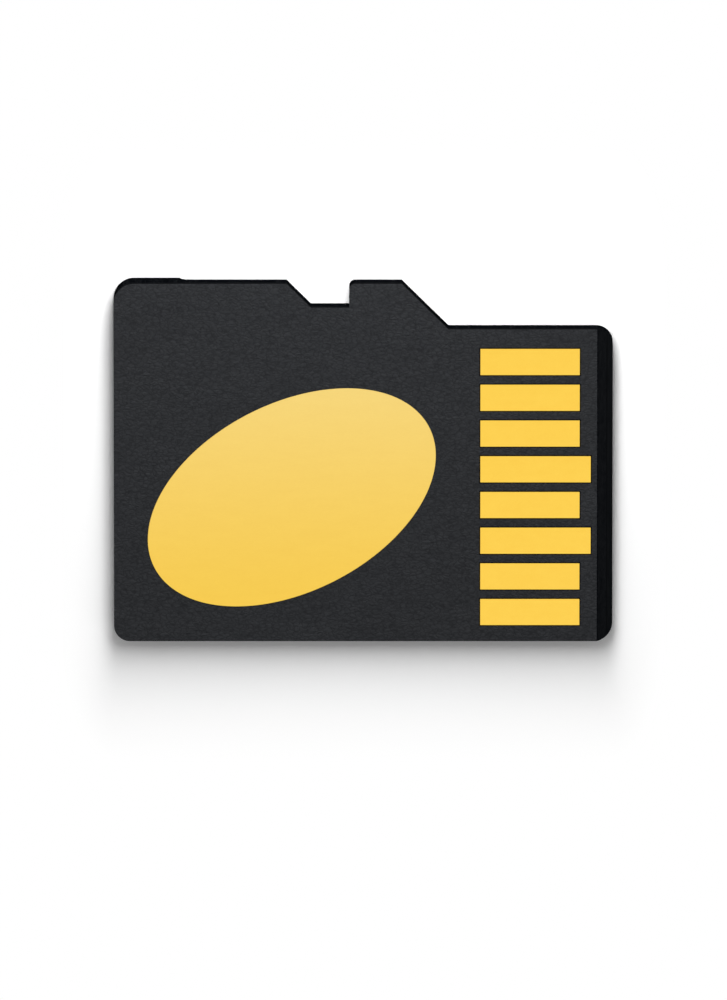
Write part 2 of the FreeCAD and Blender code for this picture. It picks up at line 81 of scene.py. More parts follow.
# Fineness of the meshes: lengths in millimetres, merging distances in metres, angle in degrees
RUN_MARGIN = 0.03
RIDGE_ARC_POINTS, OVAL_POINTS = 61, 192
MERGED, VANISHING = 1e-8, 1e-9
SHARP_ANGLE, FLAT_FACE_WEIGHT = 32, 90

# Share of the lacquer edge's inset that it has on the bevel
INSET_ON_BEVEL = 0.4

# Hairlines along and across their direction, and where across the card the oval grows paler
HAIRLINES_PER_METRE = (300, 22000, 300)
OVAL_PALER_FROM, OVAL_PALER_TO, OVAL_PALER_BEND = -4.4, 2.3, 1.33

# Limits on a face's normal, and a height in millimetres, that tell cut faces from the others
WALL_RISE, LACQUER_WALL_RISE, FACING = 0.05, 0.2, 0.5
BEVEL_LEAN, HAIR = 0.4, 1e-4

# The picture that the camera fills: pixels, pixels per millimetre, degrees and millimetres
PICTURE_HEIGHT, CARD_ROW = 1000, 462.9
PIXELS_PER_MM = 33.25
CAMERA_LEAN, CAMERA_AIM_X = 12.5, 0.01
LENS, SENSOR = 900.0, 36.0

# Floor and surround: metres, tones of the floor, millimetres over which its shadow fades, and light
FLOOR_HALF = 3.0
FLOOR_TONE, FLOOR_TONE_SEEN = 0.8, 1.11
SHADOW_FADE_START, SHADOW_FADE_END, END_FADE = 1.2, 4.0, 2.5
SURROUND_LIGHT = 0.26


# Paths in plan
def corner(centre, radius, start, end, steps=24):
    """Points round a corner: the centre plus the radius times (cos, sin) of an angle from start to end."""
    angle = np.radians(np.linspace(start, end, steps))
    return np.asarray(centre) + radius * np.column_stack((np.cos(angle), np.sin(angle)))


def run(start, end, *stops):
    """Points along a straight edge: one a margin from each end, and one at each stop, an x between them."""
    start, end = np.asarray(start, float), np.asarray(end, float)
    margin = RUN_MARGIN / np.linalg.norm(end - start)
    share = [(x - start[0]) / (end[0] - start[0]) for x in stops]
    return start + np.sort(np.array([margin, *share, 1 - margin]))[:, None] * (end - start)


def card_outline():
    """The card's outline, anticlockwise from the rear of the plain side.

    Straight edges are joined by round corners, with the nose step and the latch notch on the far side.
    """
    ridge_ends = RIDGE_SIDE - RUN_MARGIN, RIDGE_FOOT, RIDGE_FOOT + LABEL_EDGE_RUN_IN
    plain_front = FRONT - FRONT_PLAIN_CORNER
    step_front = FRONT - FRONT_STEP_CORNER
    return np.concatenate((
        run((REAR + REAR_PLAIN_CORNER, PLAIN_SIDE), (plain_front, PLAIN_SIDE), *ridge_ends),
        corner((plain_front, PLAIN_SIDE + FRONT_PLAIN_CORNER), FRONT_PLAIN_CORNER, 270, 360),
        run((FRONT, PLAIN_SIDE + FRONT_PLAIN_CORNER), (FRONT, NOSE_SIDE - FRONT_STEP_CORNER)),
        corner((step_front, NOSE_SIDE - FRONT_STEP_CORNER), FRONT_STEP_CORNER, 0, 90),
        run((step_front, NOSE_SIDE), (STEP_FOOT, NOSE_SIDE)),
        [(STEP_FOOT, NOSE_SIDE)],
        run((STEP_FOOT, NOSE_SIDE), (STEP_TOP, NOTCH_SIDE)),
        [(STEP_TOP, NOTCH_SIDE)],
        run((STEP_TOP, NOTCH_SIDE), (NOTCH_WALL + NOTCH_CORNER, NOTCH_SIDE)),
        corner((NOTCH_WALL + NOTCH_CORNER, NOTCH_SIDE - NOTCH_CORNER), NOTCH_CORNER, 90, 180, steps=14),
        run((NOTCH_WALL, NOTCH_SIDE - NOTCH_CORNER), (NOTCH_WALL, NOTCH_FLOOR)),
        [(NOTCH_WALL, NOTCH_FLOOR)],
        run((NOTCH_WALL, NOTCH_FLOOR), (NOTCH_FLOOR_END, NOTCH_FLOOR)),
        [(NOTCH_FLOOR_END, NOTCH_FLOOR)],
        run((NOTCH_FLOOR_END, NOTCH_FLOOR), (NOTCH_RAMP_TOP, NOTCH_SIDE)),
        [(NOTCH_RAMP_TOP, NOTCH_SIDE)],
        run((NOTCH_RAMP_TOP, NOTCH_SIDE), (REAR + REAR_NOTCH_CORNER, NOTCH_SIDE), *ridge_ends),
        rear_end(),
    ))


def rear_end():
    """The rear of the outline: the notch side's corner, the rear edge and the plain side's corner."""
    return np.concatenate((
        corner((REAR + REAR_NOTCH_CORNER, NOTCH_SIDE - REAR_NOTCH_CORNER), REAR_NOTCH_CORNER, 90, 180),
        run((REAR, NOTCH_SIDE - REAR_NOTCH_CORNER), (REAR, PLAIN_SIDE + REAR_PLAIN_CORNER)),
        corner((REAR + REAR_PLAIN_CORNER, PLAIN_SIDE + REAR_PLAIN_CORNER), REAR_PLAIN_CORNER, 180, 270),
    ))


def ridge_outline():
    """The grip ridge's outline: an arc in front, and the rear of the card behind.

    The arc is drawn about a point far ahead of the ridge: x is the centre less the root of R^2 - y^2.
    """
    y = np.linspace(PLAIN_SIDE, NOTCH_SIDE, RIDGE_ARC_POINTS)
    return np.concatenate((
        np.column_stack((RIDGE_FRONT + RIDGE_ARC - np.sqrt(RIDGE_ARC**2 - y**2), y)),
        run((RIDGE_SIDE, NOTCH_SIDE), (REAR + REAR_NOTCH_CORNER, NOTCH_SIDE)),
        rear_end(),
        run((REAR + REAR_PLAIN_CORNER, PLAIN_SIDE), (RIDGE_SIDE, PLAIN_SIDE)),
    ))


def rounded_rectangle(low, high, radius, steps=8):
    """A rectangle between two corners with its own corners rounded, anticlockwise."""
    (x0, y0), (x1, y1) = low, high
    return np.concatenate((
        corner((x1 - radius, y0 + radius), radius, 270, 360, steps),
        corner((x1 - radius, y1 - radius), radius, 0, 90, steps),
        corner((x0 + radius, y1 - radius), radius, 90, 180, steps),
        corner((x0 + radius, y0 + radius), radius, 180, 270, steps),
    ))


def outward(path):
    """Mitred outward direction at each point of an anticlockwise path.

    It is the sum of the two edge normals over one plus their dot product.
    """
    ahead = np.roll(path, -1, axis=0) - path
    ahead = ahead / np.linalg.norm(ahead, axis=1, keepdims=True)
    after = np.column_stack((ahead[:, 1], -ahead[:, 0]))
    before = np.roll(after, 1, axis=0)
    return (before + after) / (1 + (before * after).sum(1, keepdims=True))


# Profiles carried round a path
def bevel_reach(z):
    """How far forward the card goes at height z: to the leading edge, or to the bevel before it."""
    return np.minimum(FRONT, BEVEL_START + (CONTACT_FACE - z) * BEVEL_LENGTH / BEVEL_DEPTH)


def ring(path, z, inset=0.0, reach=None):
    """The path at height z, moved inwards along its mitred normals by inset, and stopped at reach in x."""
    flat = path - np.broadcast_to(inset, len(path))[:, None] * outward(path)
    if reach is not None:
        flat[:, 0] = np.minimum(flat[:, 0], reach)
    return np.column_stack((flat, np.broadcast_to(z, len(path))))


def bevel_crease(path, low, high):
    """Where the wall meets the bevel: at each x of the path, the slope's height, held from low to high."""
    x = np.minimum(path[:, 0], bevel_reach(low))
    slope = CONTACT_FACE - (x - BEVEL_START) * BEVEL_DEPTH / BEVEL_LENGTH
    return np.column_stack((x, path[:, 1], np.clip(slope, low, high)))


def quarter(radius, steps=5):
    """Inset and drop of a quarter round, from its side to its top.

    They are the radius times (1 - cos, 1 - sin) of an angle from 0 to 90 degrees.
    """
    angle = np.linspace(0, math.pi / 2, steps)
    return radius * (1 - np.cos(angle)), radius * (1 - np.sin(angle))


def rounded_rise(path, base, top, radius, steps=5, outwards=False):
    """Rings from a base to a top whose rim is a quarter round, inwards or, on an opening, outwards."""
    way = -1 if outwards else 1
    return [ring(path, base)] + [ring(path, top - d, way * i) for i, d in zip(*quarter(radius, steps))]


def skin(rings, cap_low=True, cap_high=True, flip=False):
    """Points, four-sided faces and end faces of rings that are joined one to the next."""
    rows, around = len(rings), len(rings[0])
    index = np.arange(rows * around).reshape(rows, around)
    side = np.roll(index, -1, axis=1)
    quads = np.stack((index[:-1], side[:-1], side[1:], index[1:]), axis=-1).reshape(-1, 4)
    caps = []
    if cap_low:
        caps.append(index[0, ::-1])
    if cap_high:
        caps.append(index[-1])
    return np.concatenate(rings), quads[:, ::-1] if flip else quads, caps


def joined(skins):
    """Points and faces of several skins as one: each skin's faces count on from the points before it."""
    faces, first = [], 0
    for points, quads, caps in skins:
        faces += (quads + first).tolist() + [(cap + first).tolist() for cap in caps]
        first += len(points)
    return np.concatenate([points for points, quads, caps in skins]), faces


def make_piece(name, skins, node, materials, filled_heights=(), paint=None):
    """One object from several skins, which stands for a node.

    Doubles are merged, open edges at the filled heights are closed by flat faces, and normals are set
    outwards. Paint gives each face's material from its normal and its centre in millimetres.
    """
    points, faces = joined(skins)
    mesh = bpy.data.meshes.new(name)
    mesh.from_pydata(points * MM, [], faces)
    work = bmesh.new()
    work.from_mesh(mesh)
    bmesh.ops.remove_doubles(work, verts=work.verts, dist=MERGED)
    bmesh.ops.dissolve_degenerate(work, edges=work.edges, dist=VANISHING)
    for height in filled_heights:
        rim = [
            e for e in work.edges
            if e.is_boundary and all(abs(v.co.z - height * MM) < MERGED for v in e.verts)
        ]
        bmesh.ops.triangle_fill(work, use_beauty=True, edges=rim, normal=(0, 0, 1))
    bmesh.ops.recalc_face_normals(work, faces=work.faces)
    work.to_mesh(mesh)
    work.free()
    for material in materials:
        mesh.materials.append(material)
    if paint:
        normal = np.empty(len(mesh.polygons) * 3)
        mesh.polygons.foreach_get("normal", normal)
        centre = np.empty(len(mesh.polygons) * 3)
        mesh.polygons.foreach_get("center", centre)
        painted = paint(normal.reshape(-1, 3), centre.reshape(-1, 3) / MM)
        mesh.polygons.foreach_set("material_index", painted.astype(np.int32))
    mesh.shade_smooth()
    mesh.set_sharp_from_angle(angle=math.radians(SHARP_ANGLE))
    piece = bpy.data.objects.new(name, mesh)
    bpy.context.scene.collection.objects.link(piece)
    weighted = piece.modifiers.new("flat_faces_stay_flat", "WEIGHTED_NORMAL")
    weighted.keep_sharp = True
    weighted.weight = FLAT_FACE_WEIGHT
    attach(piece, "root")
    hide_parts(node)


def box_in_mm(node):
    """A node's lowest and highest corner in millimetres."""
    low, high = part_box(node)
    return np.array(low) / MM, np.array(high) / MM


# Pieces
def moulded_shell(materials):
    """Cast body with the grip ridge below it and the pocket that holds the dies.

    The outline is carried up from a rounded label edge to the board, and cut back along the bevel. At the
    ridge's arc the root is hollow, a quarter round that runs forwards, and its crest is rounded all round.
    """
    path = card_outline()
    clear_of_ridge = np.clip((path[:, 0] - RIDGE_FOOT) / LABEL_EDGE_RUN_IN, 0, 1)
    inset, drop = quarter(LABEL_EDGE, steps=6)
    walls = [ring(path, LABEL_FACE + d, i * clear_of_ridge) for i, d in zip(inset[::-1], drop[::-1])]
    walls += [
        bevel_crease(path, LABEL_FACE + LABEL_EDGE, MOULD_TOP),
        ring(path, MOULD_TOP, reach=bevel_reach(MOULD_TOP)),
    ]

    crest = ridge_outline()
    ahead = np.zeros((len(crest), 3))
    ahead[:RIDGE_ARC_POINTS, 0] = 1.0
    ridge = [ring(crest, LABEL_FACE - d) + a * ahead for d, a in zip(*quarter(RIDGE_ROOT, steps=7))]
    ridge += [ring(crest, d, i) for i, d in zip(*quarter(RIDGE_EDGE, steps=7))]

    lows, highs = zip(*(box_in_mm(node) for node in MOULDED_IN))
    low = np.min(lows, axis=0) - POCKET_CLEARANCE
    high = np.max(highs, axis=0) + POCKET_CLEARANCE
    pocket = rounded_rectangle(low[:2], high[:2], POCKET_CORNER)
    skins = [
        skin(walls, cap_low=False, cap_high=False),
        skin(ridge, cap_low=False),
        skin([ring(pocket, low[2]), ring(pocket, MOULD_TOP)], cap_high=False, flip=True),
    ]

    def cut(normal, centre):
        """Sawn on upright walls, ground on the bevel, moulded on the label side and the ridge's front."""
        upright = np.abs(normal[:, 2]) < WALL_RISE
        ridge_front = (centre[:, 2] < LABEL_FACE) & (normal[:, 0] > FACING)
        below_top = centre[:, 2] < MOULD_TOP - HAIR
        bevel = (normal[:, 2] > FACING) & below_top & (centre[:, 0] > BEVEL_START)
        return np.where(bevel, 2, upright & ~ridge_front)

    filled = [LABEL_FACE, MOULD_TOP]
    make_piece("moulded_shell", skins, "moulded_body", materials, filled, cut)


def window_box(contact):
    """Low and high corner in plan of the opening in the lacquer round one contact."""
    low, high = box_in_mm(contact)
    return low[:2] - WINDOW_GAP, high[:2] + WINDOW_GAP


def contact_lacquer(materials):
    """Charcoal lacquer on the contact face, with eight openings.

    The outline is carried from the board to a slightly rounded upper edge, cut back along the bevel, and
    the openings' edges round over the same way.
    """
    path = card_outline()
    outer = [
        ring(path, BOARD_TOP, reach=bevel_reach(BOARD_TOP)),
        bevel_crease(path, BOARD_TOP, CONTACT_FACE - LACQUER_EDGE),
    ]
    for inset, drop in zip(*quarter(LACQUER_EDGE, steps=4)):
        reach = bevel_reach(CONTACT_FACE - drop) - INSET_ON_BEVEL * inset
        outer.append(ring(path, CONTACT_FACE - drop, inset, reach))
    skins = [skin(outer, cap_low=False, cap_high=False)]
    lows, highs = zip(*(window_box(contact) for contact in CONTACTS))
    for low, high in zip(lows, highs):
        opening = rounded_rectangle(low, high, WINDOW_CORNER, steps=6)
        rings = rounded_rise(opening, BOARD_TOP, CONTACT_FACE, LACQUER_EDGE, steps=4, outwards=True)
        skins.append(skin(rings, cap_low=False, cap_high=False, flip=True))
    row_low, row_high = np.min(lows, axis=0) - WINDOW_GAP, np.max(highs, axis=0) + WINDOW_GAP

    def cut(normal, centre):
        """Sawn on the outer wall and the bevel, and lacquered on the face and in the row of openings."""
        in_row = ((centre[:, :2] > row_low) & (centre[:, :2] < row_high)).all(1)
        bevel = (normal[:, 0] > BEVEL_LEAN) & (normal[:, 2] > FACING) & (centre[:, 0] > BEVEL_START)
        return ((np.abs(normal[:, 2]) < LACQUER_WALL_RISE) | bevel) & ~in_row

    filled = [BOARD_TOP, CONTACT_FACE]
    make_piece("contact_lacquer", skins, "contact_side_mask", materials, filled, cut)


def contact_pad(contact, materials):
    """One gold contact: a rectangle with small corners carried up from the board to a rounded rim."""
    low, high = box_in_mm(contact)
    path = rounded_rectangle(low[:2], high[:2], PAD_CORNER, steps=6)
    rings = rounded_rise(path, low[2], high[2], PAD_RIM)
    make_piece(contact.replace("contact", "pad"), [skin(rings)], contact, materials)


def oval_plate(materials):
    """Gold oval: an ellipse, (a cos, b sin) of an angle, turned by its tilt and raised to a rounded rim."""
    angle = np.linspace(0, 2 * math.pi, OVAL_POINTS, endpoint=False)
    tilt = math.radians(OVAL_TILT)
    turn = np.array([[math.cos(tilt), math.sin(tilt)], [-math.sin(tilt), math.cos(tilt)]])
    level = np.column_stack((OVAL_HALF_LENGTH * np.cos(angle), OVAL_HALF_WIDTH * np.sin(angle)))
    rings = rounded_rise(level @ turn + OVAL_CENTRE, CONTACT_FACE, CONTACT_FACE + OVAL_THICK, OVAL_EDGE)
    make_piece("oval_plate", [skin(rings)], "oval_foil", materials)


# Shader helpers
def fill(tree, socket, value):
    """Links a socket to another one, or gives it a value."""
    if isinstance(value, bpy.types.NodeSocket):
        tree.links.new(value, socket)
    else:
        socket.default_value = value


def add(tree, kind, settings=None, **sockets):
    """A new node with its settings, and each named input filled or linked."""
    node = tree.nodes.new(kind)
    for key, value in (settings or {}).items():
        setattr(node, key, value)
    for key, value in sockets.items():
        fill(tree, node.inputs[key.replace("_", " ")], value)
    return node


def arithmetic(tree, operation, a, b=0.0):
    """One Math node on two values or sockets."""
    node = add(tree, "ShaderNodeMath", {"operation": operation})
    fill(tree, node.inputs[0], a)
    fill(tree, node.inputs[1], b)
    return node.outputs["Value"]


def vectors(tree, operation, a, b=(0, 0, 0)):
    """One Vector Math node on two vectors or sockets; a length comes out as a value."""
    node = add(tree, "ShaderNodeVectorMath", {"operation": operation})
    fill(tree, node.inputs[0], a)
    fill(tree, node.inputs[1], b)
    return node.outputs["Value" if operation == "LENGTH" else "Vector"]


def between(tree, value, low, high, out_low, out_high, smooth=False):
    """Carries a value from one range to another, held at the ends."""
    way = "SMOOTHSTEP" if smooth else "LINEAR"
    node = add(tree, "ShaderNodeMapRange", {"clamp": True, "interpolation_type": way},
               Value=value, From_Min=low, From_Max=high, To_Min=out_low, To_Max=out_high)
    return node.outputs["Result"]


def noise(tree, place, scale, detail, **sockets):
    """Noise on a place, from 0 to 1."""
    node = add(tree, "ShaderNodeTexNoise", Vector=place, Scale=scale, Detail=detail, **sockets)
    return node.outputs["Fac"]


def tint(tree, factor, low, high, blend="MIX"):
    """Blends two colours, or colour sockets, by a factor."""
    node = add(tree, "ShaderNodeMix", {"data_type": "RGBA", "blend_type": blend})
    inputs = {socket.identifier: socket for socket in node.inputs}
    fill(tree, inputs["Factor_Float"], factor)
    for key, colour in (("A_Color", low), ("B_Color", high)):
        fill(tree, inputs[key], (*colour, 1.0) if isinstance(colour, tuple) else colour)
    return next(socket for socket in node.outputs if socket.identifier == "Result_Color")


def new_group(name, inputs, outputs):
    """An empty shader node group that reads a position, with its input sockets and its output node."""
    tree = bpy.data.node_groups.new(name, "ShaderNodeTree")
    tree.interface.new_socket("Position", in_out="INPUT", socket_type="NodeSocketVector")
    for label, kind, default in inputs:
        socket = tree.interface.new_socket(label, in_out="INPUT", socket_type=kind)
        socket.default_value = default
    for label in outputs:
        tree.interface.new_socket(label, in_out="OUTPUT", socket_type="NodeSocketFloat")
    return tree, tree.nodes.new("NodeGroupInput").outputs, tree.nodes.new("NodeGroupOutput")


def put_out(tree, end, **sockets):
    """Links sockets to a group's outputs by name."""
    for key, value in sockets.items():
        tree.links.new(value, end.inputs[key])


def make_grain_group():
    """Fine grain: noise on a position times a count of grains per metre each way, over slower mottling."""
    grains = ("Grains", "NodeSocketVector", (8000, 8000, 8000))
    mottle = ("Mottle", "NodeSocketFloat", 0.3)
    tree, start, end = new_group("fine_grain", [grains, mottle], ["Height", "Tone"])
    place = vectors(tree, "MULTIPLY", start["Position"], start["Grains"])
    fine = noise(tree, place, scale=1.0, detail=2.0, Roughness=0.55, Distortion=0.6)
    slow = noise(tree, place, scale=0.13, detail=3.0, Roughness=0.6)
    grain = between(tree, fine, 0.3, 0.7, 0.0, 1.0)
    cloud = between(tree, slow, 0.3, 0.7, 0.0, 1.0)
    mixed = add(tree, "ShaderNodeMix", {"data_type": "FLOAT"}, Factor=start["Mottle"], A=grain, B=cloud)
    put_out(tree, end, Height=fine, Tone=mixed.outputs["Result"])
    return tree


def make_print_group():
    """Fine leather print: rounded cells of uneven size under wrinkles.

    The cells come from the distance to the edges of Voronoi cells on a position that noise has bent, the
    wrinkles from finer, distorted noise, and slow noise makes the print deeper in some places. Valley
    marks the cells' edges, where a colour is darkened as painted shade in the print's creases.
    """
    count = ("Cells", "NodeSocketVector", (6000, 9000, 9000))
    tree, start, end = new_group("leather_print", [count], ["Height", "Valley", "Tone"])
    place = vectors(tree, "MULTIPLY", start["Position"], start["Cells"])
    bend = add(tree, "ShaderNodeTexNoise", Vector=place, Scale=0.6, Detail=1.0).outputs["Color"]
    offset = add(tree, "ShaderNodeVectorMath", {"operation": "SCALE"}, Vector=bend, Scale=1.7)
    bent = vectors(tree, "ADD", place, offset.outputs["Vector"])
    cells = add(tree, "ShaderNodeTexVoronoi", {"feature": "DISTANCE_TO_EDGE"},
                Vector=bent, Scale=1.0, Randomness=1.0)
    from_edge = cells.outputs["Distance"]
    fine = noise(tree, place, scale=1.35, detail=2.0, Roughness=0.55, Distortion=0.8)
    slow = noise(tree, place, scale=0.17, detail=2.0)
    pebble = arithmetic(tree, "MULTIPLY", between(tree, from_edge, 0.0, 0.36, 0.0, 1.0, True), 0.4)
    relief = arithmetic(tree, "ADD", pebble, arithmetic(tree, "MULTIPLY", fine, 1.1))
    deep = between(tree, slow, 0.35, 0.65, 0.6, 1.1)
    # Mask of the cells' edges, used for painted shade in the print's creases
    valley = between(tree, from_edge, 0.0, 0.12, 1.0, 0.0, True)
    mottle = arithmetic(tree, "ADD", fine, arithmetic(tree, "MULTIPLY", slow, 0.3))
    tone = between(tree, mottle, 0.45, 0.85, 0.0, 1.0)
    put_out(tree, end, Height=arithmetic(tree, "MULTIPLY", relief, deep), Valley=valley, Tone=tone)
    return tree


def make_handling_group():
    """Light handling: soft smudges from slow noise, and sparse hairlines from noise drawn out one way."""
    angle = ("Turn", "NodeSocketFloat", 0.0)
    tree, start, end = new_group("handling", [angle], ["Smudge", "Hairline"])
    slow = noise(tree, start["Position"], scale=420.0, detail=3.0, Roughness=0.55)
    turned = add(tree, "ShaderNodeVectorRotate", {"rotation_type": "Z_AXIS"},
                 Vector=start["Position"], Angle=start["Turn"])
    drawn_out = vectors(tree, "MULTIPLY", turned.outputs["Vector"], HAIRLINES_PER_METRE)
    lines = noise(tree, drawn_out, scale=1.0, detail=1.0)
    smudge = between(tree, slow, 0.35, 0.7, 0.0, 1.0, True)
    put_out(tree, end, Smudge=smudge, Hairline=between(tree, lines, 0.66, 0.74, 0.0, 1.0))
    return tree


GRAIN = make_grain_group()
PRINT = make_print_group()
HANDLING = make_handling_group()


def new_finish(name, specular, metallic=0.0):
    """A material with one Principled BSDF, and the position on the object that its patterns read."""
    material = bpy.data.materials.new(name)
    material.use_nodes = True
    tree = material.node_tree
    surface = tree.nodes["Principled BSDF"]
    surface.inputs["Specular IOR Level"].default_value = specular
    surface.inputs["Metallic"].default_value = metallic
    where = tree.nodes.new("ShaderNodeTexCoord").outputs["Object"]
    return material, tree, surface, where


def use_group(tree, group, where, **sockets):
    """Places a shared effect in a material with its own values."""
    node = add(tree, "ShaderNodeGroup", {"node_tree": group}, Position=where, **sockets)
    return node.outputs


def emboss(tree, surface, height, depth):
    """Feeds a height, whose full range stands for depth in millimetres, to the surface's normal."""
    bump = add(tree, "ShaderNodeBump", Strength=1.0, Distance=depth * MM, Height=height)
    tree.links.new(bump.outputs["Normal"], surface.inputs["Normal"])


def feed(tree, surface, colour, rough):
    """Links a colour and a roughness to the surface."""
    tree.links.new(colour, surface.inputs["Base Color"])
    tree.links.new(rough, surface.inputs["Roughness"])


# Finishes of the card
def charcoal_lacquer():
    """Contact-face lacquer: matt charcoal with a fine leather print that runs along the card, its valleys
    painted darker as shade.
    """
    material, tree, surface, where = new_finish("charcoal_lacquer", specular=0.03)
    leather = use_group(tree, PRINT, where, Cells=(5400, 9200, 9200))
    touched = use_group(tree, HANDLING, where, Turn=0.25)
    colour = tint(tree, leather["Tone"], (0.0218, 0.0229, 0.0251), (0.0326, 0.0341, 0.0370))
    # Painted shade: the lacquer's colour is darkened along the print's valleys, where its creases would lie
    # in shadow
    valley_shaded = tint(tree, between(tree, leather["Valley"], 0, 1, 0, 0.46), colour, (0.0099, 0.0103, 0.0114))
    feed(tree, surface, valley_shaded, between(tree, touched["Smudge"], 0, 1, 0.58, 0.66))
    emboss(tree, surface, leather["Height"], depth=0.027)
    return material


def sawn_edge():
    """Edges cut when the card is singulated: dull black with fine upright saw lines.

    Some lines are paler, where the blade tore the filler.
    """
    material, tree, surface, where = new_finish("sawn_edge", specular=0.0)
    grain = use_group(tree, GRAIN, where, Grains=(16000, 16000, 2500), Mottle=0.35)
    colour = tint(tree, grain["Tone"], (0.0009, 0.0012, 0.0018), (0.0040, 0.0046, 0.0060))
    torn = tint(tree, between(tree, grain["Tone"], 0.62, 0.95, 0, 0.7), colour, (0.0150, 0.0157, 0.0175))
    feed(tree, surface, torn, between(tree, grain["Tone"], 0, 1, 0.75, 0.9))
    emboss(tree, surface, grain["Height"], depth=0.02)
    return material


def moulded_black():
    """Moulded compound: satin black with the fine even texture of a spark-eroded mould."""
    material, tree, surface, where = new_finish("moulded_black", specular=0.3)
    grain = use_group(tree, GRAIN, where, Grains=(14000, 14000, 14000), Mottle=0.4)
    touched = use_group(tree, HANDLING, where, Turn=0.9)
    colour = tint(tree, grain["Tone"], (0.0085, 0.0088, 0.0095), (0.0150, 0.0153, 0.0162))
    feed(tree, surface, colour, between(tree, touched["Smudge"], 0, 1, 0.46, 0.58))
    emboss(tree, surface, grain["Height"], depth=0.025)
    return material


def contact_gold():
    """Hard gold plating: bright yellow gold with a very fine plating grain and faint wipe lines."""
    material, tree, surface, where = new_finish("contact_gold", specular=0.5, metallic=1.0)
    grain = use_group(tree, GRAIN, where, Grains=(20000, 30000, 20000), Mottle=0.5)
    touched = use_group(tree, HANDLING, where, Turn=0.0)
    colour = tint(tree, grain["Tone"], (0.972, 0.612, 0.0787), (0.998, 0.657, 0.0925))
    plated = between(tree, grain["Tone"], 0, 1, 0.30, 0.38)
    wiped = between(tree, touched["Hairline"], 0, 1, 0.0, 0.08)
    feed(tree, surface, colour, arithmetic(tree, "ADD", plated, wiped))
    emboss(tree, surface, grain["Height"], depth=0.003)
    return material


def oval_gold():
    """Gold foil of the oval: satin, paler towards the notch side, with a fine brushed grain."""
    material, tree, surface, where = new_finish("oval_gold", specular=0.5, metallic=1.0)
    grain = use_group(tree, GRAIN, where, Grains=(9000, 30000, 9000), Mottle=0.5)
    across = add(tree, "ShaderNodeSeparateXYZ", Vector=where).outputs["Y"]
    share = between(tree, across, OVAL_PALER_FROM * MM, OVAL_PALER_TO * MM, 0, 1)
    rise = arithmetic(tree, "POWER", share, OVAL_PALER_BEND)
    colour = tint(tree, rise, (0.936, 0.617, 0.0885), (0.935, 0.688, 0.2104))
    shade = tint(tree, between(tree, grain["Tone"], 0, 1, 0.0, 0.05), (1.0, 1.0, 1.0), (0.5, 0.4, 0.2))
    brushed = tint(tree, 1.0, colour, shade, "MULTIPLY")
    feed(tree, surface, brushed, between(tree, grain["Tone"], 0, 1, 0.38, 0.48))
    emboss(tree, surface, grain["Height"], depth=0.003)
    return material


def grained_finish(name, low, high, rough, grains, specular=0.4, metallic=0.0, mottle=0.4, depth=0.003):
    """A finish whose two close colours and roughness follow one grain."""
    material, tree, surface, where = new_finish(name, specular, metallic)
    grain = use_group(tree, GRAIN, where, Grains=grains, Mottle=mottle)
    feed(tree, surface, tint(tree, grain["Tone"], low, high), between(tree, grain["Tone"], 0, 1, *rough))
    emboss(tree, surface, grain["Height"], depth)
    return material


def ground_bevel():
    """The moulded part of the leading bevel: dull black with fine grinding lines across the card."""
    return grained_finish("ground_bevel", (0.0030, 0.0034, 0.0042), (0.0070, 0.0076, 0.0086),
                          rough=(0.65, 0.85), grains=(15000, 1800, 15000),
                          specular=0.0, mottle=0.3, depth=0.012)


def board_laminate():
    """Black laminate: dull resin with faint layers of glass cloth along its edge."""
    return grained_finish("board_laminate", (0.0028, 0.0032, 0.0040), (0.0072, 0.0078, 0.0088),
                          rough=(0.7, 0.9), grains=(5000, 5000, 42000),
                          specular=0.0, mottle=0.3, depth=0.01)


def inner_lacquer():
    """Lacquer on the board's inner side: green on its flat faces, dull black where the edge is cut."""
    material, tree, surface, where = new_finish("inner_lacquer", specular=0.01)
    grain = use_group(tree, GRAIN, where, Grains=(7000, 7000, 7000), Mottle=0.4)
    facing = add(tree, "ShaderNodeSeparateXYZ", Vector=where.node.outputs["Normal"]).outputs["Z"]
    flat = between(tree, arithmetic(tree, "ABSOLUTE", facing), 0.9, 0.98, 0, 1)
    green = tint(tree, grain["Tone"], (0.004, 0.040, 0.016), (0.008, 0.062, 0.026))
    colour = tint(tree, flat, (0.0027, 0.0030, 0.0033), green)
    feed(tree, surface, colour, between(tree, flat, 0, 1, 0.85, 0.35))
    emboss(tree, surface, grain["Height"], depth=0.004)
    return material


lacquer, edge, mould = charcoal_lacquer(), sawn_edge(), moulded_black()
moulded_shell([mould, edge, ground_bevel()])
contact_lacquer([lacquer, edge])
gold = contact_gold()
for contact in CONTACTS:
    contact_pad(contact, [gold])
oval_plate([oval_gold()])

# Finishes of the pieces that keep their own solids
silicon = grained_finish("die_silicon", (0.060, 0.064, 0.075), (0.095, 0.100, 0.115),
                         rough=(0.18, 0.28), grains=(900, 900, 900), specular=0.6)
film = grained_finish("die_film", (0.18, 0.11, 0.035), (0.26, 0.17, 0.06),
                      rough=(0.5, 0.6), grains=(5000, 5000, 5000))
copper = grained_finish("track_copper", (0.72, 0.33, 0.19), (0.86, 0.44, 0.27),
                        rough=(0.3, 0.45), grains=(16000, 16000, 16000), specular=0.5, metallic=1.0)
solder = grained_finish("reflowed_solder", (0.58, 0.58, 0.60), (0.74, 0.74, 0.75),
                        rough=(0.25, 0.45), grains=(14000, 14000, 14000), specular=0.5, metallic=1.0)
ceramic = grained_finish("capacitor_ceramic", (0.28, 0.20, 0.13), (0.40, 0.30, 0.21),
                         rough=(0.45, 0.6), grains=(12000, 12000, 12000))
wire = grained_finish("bond_wire_gold", (0.86, 0.56, 0.13), (0.97, 0.66, 0.19),
                      rough=(0.2, 0.3), grains=(20000, 20000, 20000), specular=0.5, metallic=1.0)
